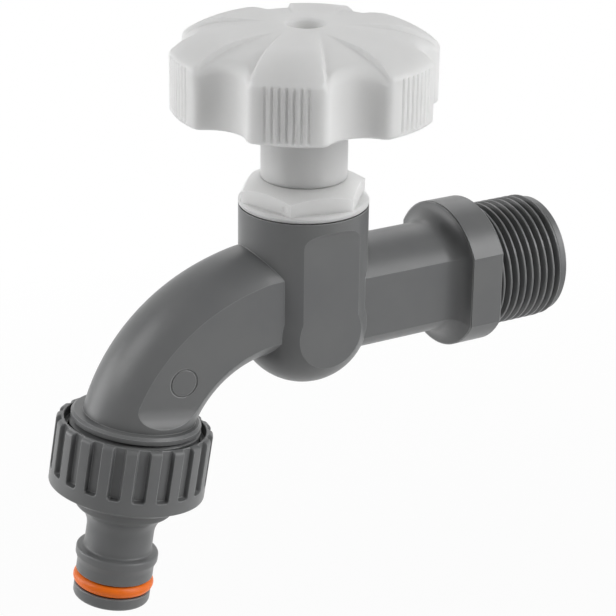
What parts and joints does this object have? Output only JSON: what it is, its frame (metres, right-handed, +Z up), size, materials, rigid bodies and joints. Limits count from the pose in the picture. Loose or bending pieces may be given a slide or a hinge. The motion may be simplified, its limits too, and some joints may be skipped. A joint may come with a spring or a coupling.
{
  "type": "garden tap with hose connector",
  "caption": "Grey plastic garden tap with a white lobed handwheel, a threaded wall inlet, a curved spout and a screwed-on quick connector for a hose.",
  "frame": {"origin": "on the inlet's axis at the outer end of its full thread", "axes": "+X out of the inlet towards the supply pipe, +Z up along the spindle, +Y across the tap"},
  "size_m": [0.114, 0.053, 0.1163],
  "materials": {
    "grey_plastic": "satin",
    "white_plastic": "satin",
    "brass": "satin",
    "steel": "satin",
    "black_rubber": "matte",
    "orange_rubber": "satin"
  },
  "bodies": {
    "root": {"tap_body": "grey_plastic", "bonnet": "white_plastic", "bonnet_seal": "black_rubber"},
    "valve": {"valve_carrier": "brass", "valve_washer": "black_rubber", "washer_screw": "steel"},
    "spindle_and_wheel": {"spindle": "brass", "spindle_seal_lower": "black_rubber", "spindle_seal_upper": "black_rubber", "handwheel": "white_plastic", "handle_screw": "steel"},
    "outlet_seal": {"connector_washer": "black_rubber"},
    "connector": {"tap_connector": "grey_plastic", "nipple_seal": "orange_rubber"}
  },
  "joints": [
    {"name": "valve_lift", "type": "slide", "parent": "root", "child": "valve", "axis": [0, 0, 1], "range_m": [0, 0.005]},
    {"name": "wheel_turn", "type": "hinge", "parent": "valve", "child": "spindle_and_wheel", "pos_m": [-0.05517, 0, 0.0418], "axis": [0, 0, 1], "range_deg": [0, 900]},
    {"name": "connector_advance", "type": "slide", "parent": "root", "child": "outlet_seal", "axis": [-0.1668, 0, -0.986], "range_m": [0, 0.00816]},
    {"name": "connector_turn", "type": "hinge", "parent": "outlet_seal", "child": "connector", "pos_m": [-0.09515, 0, -0.02851], "axis": [-0.1668, 0, -0.986], "range_deg": [0, 1620]}
  ],
  "couplings": [
    {"joint": "valve_lift", "follows": "wheel_turn", "m_per_rad": 0.00031831},
    {"joint": "connector_advance", "follows": "connector_turn", "m_per_rad": 0.00028871}
  ]
}
